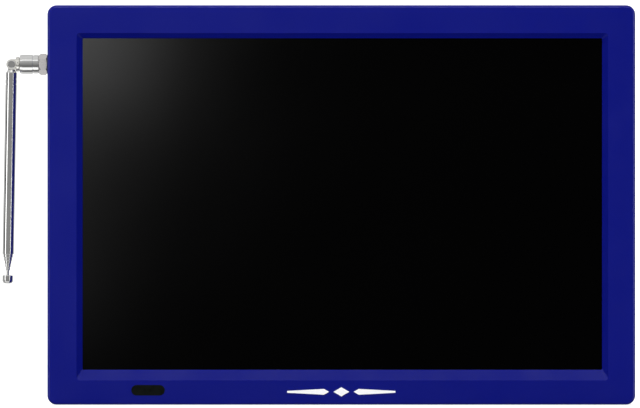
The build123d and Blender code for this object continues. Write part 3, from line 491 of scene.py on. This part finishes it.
def world_tree():
    """A new world and short ways to add arithmetic and remapping nodes to it."""
    world = bpy.data.worlds.new("white_room")
    bpy.context.scene.world = world
    world.use_nodes = True
    nodes, links = world.node_tree.nodes, world.node_tree.links

    def calculate(operation, *values):
        node = nodes.new("ShaderNodeMath")
        node.operation = operation
        for socket, value in zip(node.inputs, values):
            if isinstance(value, float):
                socket.default_value = value
            else:
                links.new(value, socket)
        return node.outputs[0]

    def remap(value, start, end, low, high):
        node = nodes.new("ShaderNodeMapRange")
        for key, number in (("From Min", start), ("From Max", end), ("To Min", low), ("To Max", high)):
            node.inputs[key].default_value = number
        links.new(value, node.inputs["Value"])
        return node.outputs["Result"]

    return nodes, links, calculate, remap


def white_room():
    """A white surround for the camera; for the object, soft bands of light and dark around the X axis."""
    # degrees up from straight in front, and how bright the room is there
    bands = [(-180, 0.55), (-118, 0.75), (-98, 0.14), (-78, 0.14), (-64, 1.4), (-46, 1.4), (-32, 0.12),
             (-12, 0.2), (0, 0.27), (35, 0.45), (45, 0.6), (48, 1.3), (54, 1.3), (58, 0.62), (90, 0.7),
             (180, 0.55)]
    brightest = max(level for degrees, level in bands)
    nodes, links, calculate, remap = world_tree()
    place = nodes.new("ShaderNodeTexCoord")
    parts = nodes.new("ShaderNodeSeparateXYZ")
    links.new(place.outputs["Generated"], parts.inputs["Vector"])
    x, y, z = (parts.outputs[axis] for axis in "XYZ")

    angle = calculate("ARCTAN2", z, calculate("MULTIPLY", y, -1.0))
    ramp = nodes.new("ShaderNodeValToRGB")
    stops = ramp.color_ramp.elements
    while len(stops) < len(bands):
        stops.new(0.5)
    for stop, (degrees, level) in zip(stops, bands):
        stop.position = (degrees + 180) / 360
        stop.color = (level / brightest, level / brightest, level / brightest, 1)
    links.new(remap(angle, -math.pi, math.pi, 0.0, 1.0), ramp.inputs["Fac"])

    # the two sides are dark, more so towards the front than behind
    behind = calculate("MAXIMUM", y, 0.0)
    sideways = calculate("MULTIPLY_ADD", behind, -0.8, calculate("ABSOLUTE", x))
    dimmed = nodes.new("ShaderNodeVectorMath")
    dimmed.operation = "SCALE"
    links.new(ramp.outputs["Color"], dimmed.inputs["Vector"])
    links.new(remap(sideways, 0.75, 0.98, 1.0, 0.08), dimmed.inputs["Scale"])

    path = nodes.new("ShaderNodeLightPath")
    mix = nodes.new("ShaderNodeMix")
    mix.data_type = "RGBA"
    links.new(path.outputs["Is Camera Ray"], mix.inputs["Factor"])
    links.new(dimmed.outputs["Vector"], mix.inputs["A"])
    mix.inputs["B"].default_value = (1, 1, 1, 1)
    links.new(mix.outputs["Result"], nodes["Background"].inputs["Color"])
    nodes["Background"].inputs["Strength"].default_value = brightest


def studio():
    """Soft fills kept out of reflections, two strips that streak the metal, and cards for single pieces."""
    pale_floor()
    white_room()
    middle, mast = (0, 0, 0.12), (-0.2, 0, 0.15)
    emitter("front_left_fill", (-0.5, -1.7, 0.35), middle, (1.0, 0.6), 5.4, False)
    emitter("top_fill", (-0.2, -0.2, 1.4), middle, (1.4, 1.0), 3.0, False)
    emitter("back_fill", (0.3, 1.6, 1.0), middle, (1.6, 1.0), 2.4, False)
    emitter("left_strip", (-1.41, -0.70, 0.45), mast, (0.42, 0.9), 2.2)
    emitter("right_strip", (0.99, -1.07, 0.45), mast, (0.36, 0.9), 3.0)

    glow = emitter("screen_glow_card", (-0.20, -1.0, 0.245), (-0.20, 0, 0.245), (0.12, 0.10), 42.0)
    low_glow = emitter("screen_low_card", (-0.215, -1.0, 0.12), (-0.215, 0, 0.12), (0.06, 0.16), 11.0)
    for light in (glow, low_glow):
        lights_only(light, [NODES["panel_glass"]])

    # these only reflect, in the bezel's rounded rim
    edges = {"left": ((-1.5, -1.25, 0.12), (1.2, 1.2), 4.0), "right": ((1.5, -1.25, 0.12), (1.2, 1.2), 4.0),
             "top": ((0, -1.62, 1.3), (1.2, 0.45), 14.0)}
    for side, (place, size, radiance) in edges.items():
        edge = emitter(f"edge_card_{side}", place, middle, size, radiance)
        edge.visible_diffuse = False
        lights_only(edge, [NODES["front_bezel"]])

    card = emitter("metal_card", (-0.2, -1.2, 0.2), (-0.2, 0, 0.2), (0.8, 0.8), 0.4)
    lights_only(card, [NODES[name] for name in ("antenna_nut", "antenna_swivel")])


def camera():
    """A long lens straight in front, framed like a catalogue picture."""
    data = bpy.data.cameras.new("camera")
    data.sensor_width = 36.0
    data.lens = 600.0
    view_width = 0.3755
    front_y = CAD_BOX[0][1]
    distance = view_width * data.lens / data.sensor_width
    data.clip_start = 0.1
    data.clip_end = 30.0
    eye = bpy.data.objects.new("camera", data)
    bpy.context.scene.collection.objects.link(eye)
    eye.location = (-0.0125, front_y - distance, 0.1178)
    eye.rotation_euler = (math.radians(90), 0, 0)
    bpy.context.scene.camera = eye


def colour_management():
    view = bpy.context.scene.view_settings
    view.view_transform = "Standard"
    view.look = "None"


finish_nodes()
key_symbols()
jack_rings()
contact_row("usb_contacts", "usb_socket", 4, 2.4 * MM, 1.2 * MM, 2.2 * MM, 15.9 * MM, 8 * MM)
contact_row("hdmi_contacts", "hdmi_socket", 10, 1.0 * MM, 0.45 * MM, 2.0 * MM, 15.1 * MM, 6 * MM)
speaker_cloths()
studio()
camera()
colour_management()
